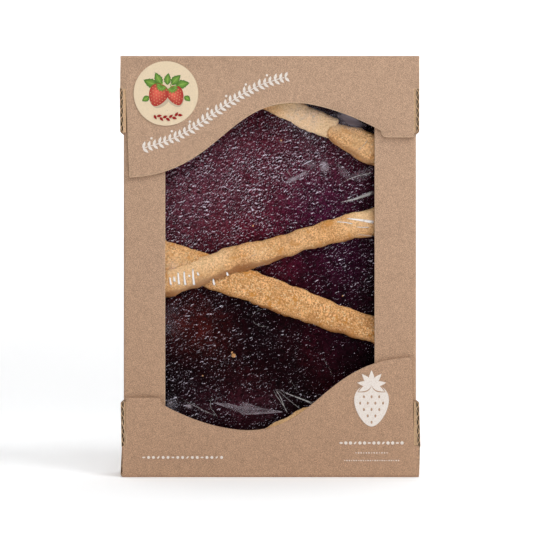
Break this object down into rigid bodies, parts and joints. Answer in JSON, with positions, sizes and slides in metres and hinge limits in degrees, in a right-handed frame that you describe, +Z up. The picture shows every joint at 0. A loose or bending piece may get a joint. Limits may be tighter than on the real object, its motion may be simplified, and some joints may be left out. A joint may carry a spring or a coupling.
{
  "type": "boxed strawberry tart",
  "caption": "Shut corrugated carton standing on its short end, with a wavy window in front that shows a rectangular jam tart with pastry strips.",
  "frame": {"origin": "on the standing surface, under the middle of the pack's bounding box", "axes": "+Z up along the pack's length, +X to the right seen from the window side, -Y out of the window"},
  "size_m": [0.2132, 0.0386, 0.298],
  "materials": {
    "board": "uncoated brown corrugated board",
    "label_paper": "matt cream paper",
    "pastry": "baked shortcrust, grainy",
    "jam": "dark glossy jam"
  },
  "bodies": {
    "root": {"carton": "board", "label": "label_paper", "jam": "jam", "crust": "pastry", "strip_middle_falling": "pastry", "strip_middle_rising": "pastry", "strip_top_left": "pastry", "strip_top_right": "pastry", "strip_bottom": "pastry"}
  },
  "joints": []
}
